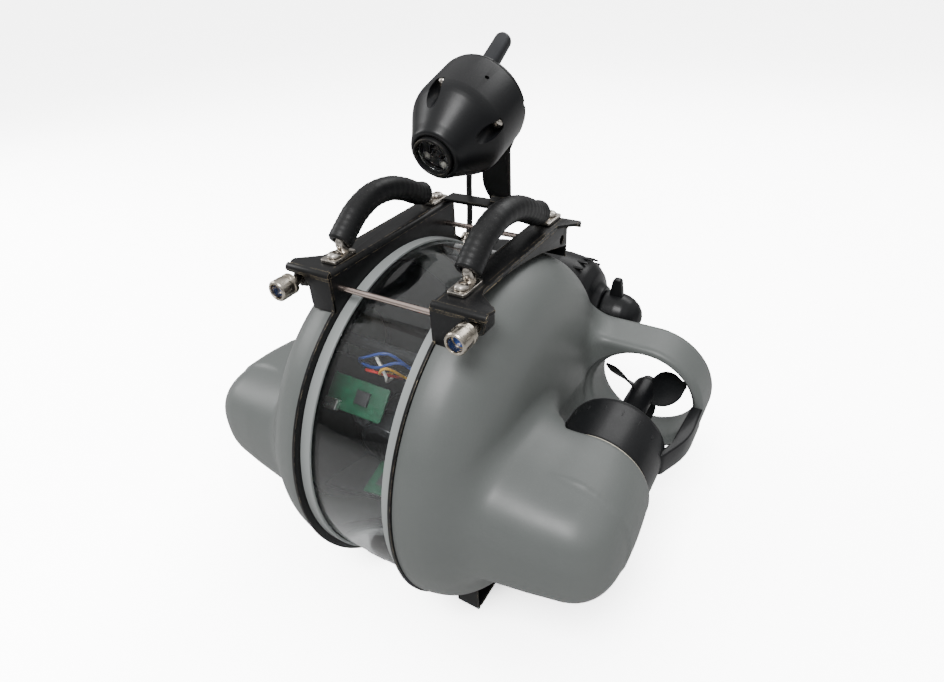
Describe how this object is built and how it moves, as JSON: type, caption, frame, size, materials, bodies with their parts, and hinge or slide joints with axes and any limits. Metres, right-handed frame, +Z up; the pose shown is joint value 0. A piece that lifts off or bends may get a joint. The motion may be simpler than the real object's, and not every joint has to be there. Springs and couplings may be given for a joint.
{
  "type": "underwater inspection vehicle",
  "caption": "Small tethered underwater vehicle with a clear window ring, ducted thrusters, a pitching inner camera and a second camera on top.",
  "frame": {"origin": "centre of the bounding box at the level of the skids' undersides", "axes": "+Z up; the nose and its cameras look along -Y; +X is the port side, so the hull's turning axis is X"},
  "size_m": [0.331, 0.2964, 0.3779],
  "materials": {
    "shell": "satin greenish grey paint on cast aluminium",
    "clamp_ring": "light grey painted ring",
    "window": "clear acrylic",
    "frame": "black anodised sheet and turned parts",
    "rubber": "matt black rubber",
    "stainless": "stainless steel",
    "nickel": "nickel plated brass",
    "black_plastic": "black acetal",
    "camera_glass": "clear camera window",
    "lamp_board": "white lamp carrier",
    "rotor": "magnet rotor",
    "motor_can": "dark motor can",
    "cradle": "dark grey sheet",
    "main_camera": "black camera body",
    "circuit_board": "green circuit board",
    "battery": "blue wrapped cells",
    "wiring": "bundled leads"
  },
  "bodies": {
    "hull": {"port_shell": "shell", "starboard_shell": "shell", "port_clamp_ring": "clamp_ring", "starboard_clamp_ring": "clamp_ring", "window_ring": "window", "port_frame_plate": "frame", "starboard_frame_plate": "frame", "rear_strap_arm": "frame", "port_laser_mount": "frame", "starboard_laser_mount": "frame", "port_seal": "rubber", "starboard_seal": "rubber", "port_handle_grip": "rubber", "starboard_handle_grip": "rubber", "camera_lead": "rubber", "tether_gland": "rubber", "port_handle_bar": "stainless", "starboard_handle_bar": "stainless", "port_handle_front_screw": "stainless", "port_handle_back_screw": "stainless", "starboard_handle_front_screw": "stainless", "starboard_handle_back_screw": "stainless", "front_cross_rod": "stainless", "back_cross_rod": "stainless", "tilt_pin": "stainless", "port_laser_barrel": "nickel", "starboard_laser_barrel": "nickel", "lead_gland": "nickel", "port_motor_housing": "black_plastic", "starboard_motor_housing": "black_plastic", "tail_housing": "black_plastic", "port_drive_motor": "motor_can", "starboard_drive_motor": "motor_can", "pitch_motor": "motor_can"},
    "port_propeller_body": {"port_propeller": "black_plastic"},
    "starboard_propeller_body": {"starboard_propeller": "black_plastic"},
    "port_rotor": {"port_coupling_rotor": "rotor"},
    "starboard_rotor": {"starboard_coupling_rotor": "rotor"},
    "cradle": {"cradle_frame": "cradle", "ring_gear": "black_plastic", "main_camera": "main_camera", "port_lamp_panel": "lamp_board", "starboard_lamp_panel": "lamp_board", "control_board": "circuit_board", "battery_pack": "battery", "drum_weight": "cradle", "wire_loom": "wiring"},
    "pinion_body": {"pinion": "nickel"},
    "second_camera": {"camera_housing": "black_plastic", "camera_bezel": "frame", "camera_port": "camera_glass", "camera_lamp_board": "lamp_board", "camera_lens": "black_plastic", "camera_rear_cap": "black_plastic", "camera_vent_plug": "black_plastic", "camera_screw_1": "stainless", "camera_screw_2": "stainless", "camera_screw_3": "stainless", "camera_screw_4": "stainless"},
    "tail_knob_body": {"tail_knob": "black_plastic"}
  },
  "joints": [
    {"name": "port_rotor_spin", "type": "hinge", "parent": "hull", "child": "port_rotor", "pos_m": [0.1195, -0.01575, 0.132], "axis": [0, 1, 0], "continuous": true},
    {"name": "port_propeller_spin", "type": "hinge", "parent": "hull", "child": "port_propeller_body", "pos_m": [0.1195, 0.06025, 0.132], "axis": [0, 1, 0], "continuous": true},
    {"name": "starboard_rotor_spin", "type": "hinge", "parent": "hull", "child": "starboard_rotor", "pos_m": [-0.1195, -0.01575, 0.132], "axis": [0, 1, 0], "continuous": true},
    {"name": "starboard_propeller_spin", "type": "hinge", "parent": "hull", "child": "starboard_propeller_body", "pos_m": [-0.1195, 0.06025, 0.132], "axis": [0, 1, 0], "continuous": true},
    {"name": "cradle_pitch", "type": "hinge", "parent": "hull", "child": "cradle", "pos_m": [0, -0.02175, 0.134], "axis": [-1, 0, 0], "range_deg": [-135, 135]},
    {"name": "pinion_spin", "type": "hinge", "parent": "hull", "child": "pinion_body", "pos_m": [0.0573, 0.0281, 0.18385], "axis": [-1, 0, 0], "range_deg": [-811, 811]},
    {"name": "camera_tilt", "type": "hinge", "parent": "hull", "child": "second_camera", "pos_m": [0, 0.05825, 0.32], "axis": [-1, 0, 0], "range_deg": [-10, 40], "deforming": ["camera_lead"]},
    {"name": "tail_knob_turn", "type": "hinge", "parent": "hull", "child": "tail_knob_body", "pos_m": [0.08, 0.10625, 0.167], "axis": [-1, 0, 0], "range_deg": [0, 90]}
  ],
  "couplings": [
    {"joint": "port_propeller_spin", "follows": "port_rotor_spin", "ratio": 1},
    {"joint": "starboard_propeller_spin", "follows": "starboard_rotor_spin", "ratio": 1},
    {"joint": "pinion_spin", "follows": "cradle_pitch", "ratio": -6}
  ]
}
